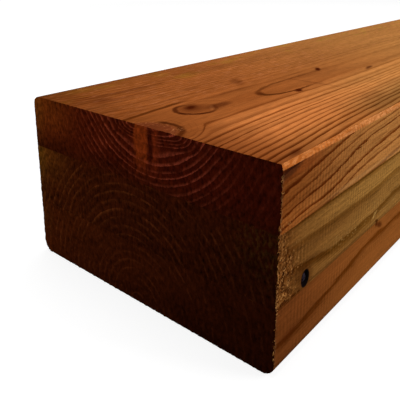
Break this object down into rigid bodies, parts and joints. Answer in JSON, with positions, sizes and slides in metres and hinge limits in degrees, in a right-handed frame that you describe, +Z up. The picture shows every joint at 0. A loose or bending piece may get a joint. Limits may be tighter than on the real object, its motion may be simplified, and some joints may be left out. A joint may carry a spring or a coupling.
{
  "type": "glulam post",
  "caption": "Long glued laminated timber post of rectangular section, built of boards glued flat to flat, with planed faces, eased long corners and square saw-cut ends.",
  "frame": {"origin": "middle of the bottom face, on the surface that the post lies on", "axes": "+X along the post, away from the cut end that has a black knot beside it; +Y across the boards, away from the side with that knot; +Z up through the boards, from the bottom one to the top one"},
  "size_m": [2.4384, 0.1778, 0.1048],
  "materials": {
    "bottom_board": "planed softwood with a brown stain, satin",
    "middle_board": "rough planed olive tan softwood, dull",
    "top_board": "planed softwood with a reddish brown stain, satin"
  },
  "bodies": {
    "root": {"lamination_bottom": "bottom_board", "lamination_middle": "middle_board", "lamination_top": "top_board"}
  },
  "joints": []
}
